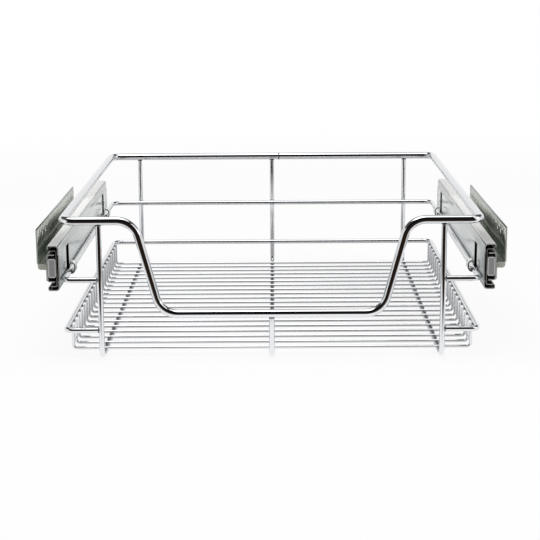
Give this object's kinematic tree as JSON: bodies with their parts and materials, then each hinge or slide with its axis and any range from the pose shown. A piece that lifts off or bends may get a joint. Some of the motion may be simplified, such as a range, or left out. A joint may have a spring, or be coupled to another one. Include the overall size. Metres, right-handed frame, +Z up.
{
  "type": "pull out cabinet basket",
  "caption": "Chrome wire basket with a dipped front handle that pulls out of a cabinet on two ball-bearing runners with perforated side brackets.",
  "frame": {"origin": "centre of the basket's bounding box, on the plane under its lowest wires", "axes": "+X to the right across the cabinet, -Y out of the cabinet towards the user, +Z up"},
  "size_m": [0.464, 0.446, 0.1458],
  "materials": {
    "chrome_wire": "bright chrome plate",
    "zinc_runner": "bright zinc plate",
    "zinc_bracket": "bright zinc plate, mirror-like",
    "black_cage": "black sheet steel",
    "ball_steel": "polished steel balls",
    "grey_bumper": "moulded grey plastic"
  },
  "bodies": {
    "cabinet_side": {"cabinet_bracket_left": "zinc_bracket", "runner_fixed_member_left": "zinc_runner", "bumper_left": "grey_bumper", "rivets_left": "zinc_bracket", "cabinet_bracket_right": "zinc_bracket", "runner_fixed_member_right": "zinc_runner", "bumper_right": "grey_bumper", "rivets_right": "zinc_bracket"},
    "basket": {"rim_handle": "chrome_wire", "mid_rail": "chrome_wire", "tray_rail": "chrome_wire", "longitudinal_left": "chrome_wire", "longitudinal_centre": "chrome_wire", "longitudinal_right": "chrome_wire", "cross_wire_01": "chrome_wire", "cross_wire_02": "chrome_wire", "cross_wire_03": "chrome_wire", "cross_wire_04": "chrome_wire", "cross_wire_05": "chrome_wire", "cross_wire_06": "chrome_wire", "cross_wire_07": "chrome_wire", "cross_wire_08": "chrome_wire", "cross_wire_09": "chrome_wire", "cross_wire_10": "chrome_wire", "cross_wire_11": "chrome_wire", "cross_wire_12": "chrome_wire", "cross_wire_13": "chrome_wire", "cross_wire_14": "chrome_wire", "cross_wire_15": "chrome_wire", "cross_wire_16": "chrome_wire", "cross_wire_17": "chrome_wire", "cross_wire_18": "chrome_wire", "cross_wire_19": "chrome_wire", "cross_wire_20": "chrome_wire", "runner_basket_member_left": "zinc_runner", "runner_basket_member_right": "zinc_runner"},
    "middle_member_left": {"runner_middle_member_left": "zinc_runner"},
    "outer_cage_left": {"outer_ball_cage_left": "black_cage", "outer_balls_left": "ball_steel"},
    "inner_cage_left": {"inner_ball_cage_left": "black_cage", "inner_balls_left": "ball_steel"},
    "middle_member_right": {"runner_middle_member_right": "zinc_runner"},
    "outer_cage_right": {"outer_ball_cage_right": "black_cage", "outer_balls_right": "ball_steel"},
    "inner_cage_right": {"inner_ball_cage_right": "black_cage", "inner_balls_right": "ball_steel"}
  },
  "joints": [
    {"name": "basket_slide", "type": "slide", "parent": "cabinet_side", "child": "basket", "axis": [0, -1, 0], "range_m": [0, 0.4]},
    {"name": "middle_slide_left", "type": "slide", "parent": "cabinet_side", "child": "middle_member_left", "axis": [0, -1, 0], "range_m": [0, 0.2]},
    {"name": "outer_cage_slide_left", "type": "slide", "parent": "middle_member_left", "child": "outer_cage_left", "axis": [0, -1, 0], "range_m": [0, 0.1]},
    {"name": "inner_cage_slide_left", "type": "slide", "parent": "cabinet_side", "child": "inner_cage_left", "axis": [0, -1, 0], "range_m": [0, 0.1]},
    {"name": "middle_slide_right", "type": "slide", "parent": "cabinet_side", "child": "middle_member_right", "axis": [0, -1, 0], "range_m": [0, 0.2]},
    {"name": "outer_cage_slide_right", "type": "slide", "parent": "middle_member_right", "child": "outer_cage_right", "axis": [0, -1, 0], "range_m": [0, 0.1]},
    {"name": "inner_cage_slide_right", "type": "slide", "parent": "cabinet_side", "child": "inner_cage_right", "axis": [0, -1, 0], "range_m": [0, 0.1]}
  ],
  "couplings": [
    {"joint": "middle_slide_left", "follows": "basket_slide", "ratio": 0.5},
    {"joint": "outer_cage_slide_left", "follows": "basket_slide", "ratio": 0.25},
    {"joint": "inner_cage_slide_left", "follows": "basket_slide", "ratio": 0.25},
    {"joint": "middle_slide_right", "follows": "basket_slide", "ratio": 0.5},
    {"joint": "outer_cage_slide_right", "follows": "basket_slide", "ratio": 0.25},
    {"joint": "inner_cage_slide_right", "follows": "basket_slide", "ratio": 0.25}
  ]
}
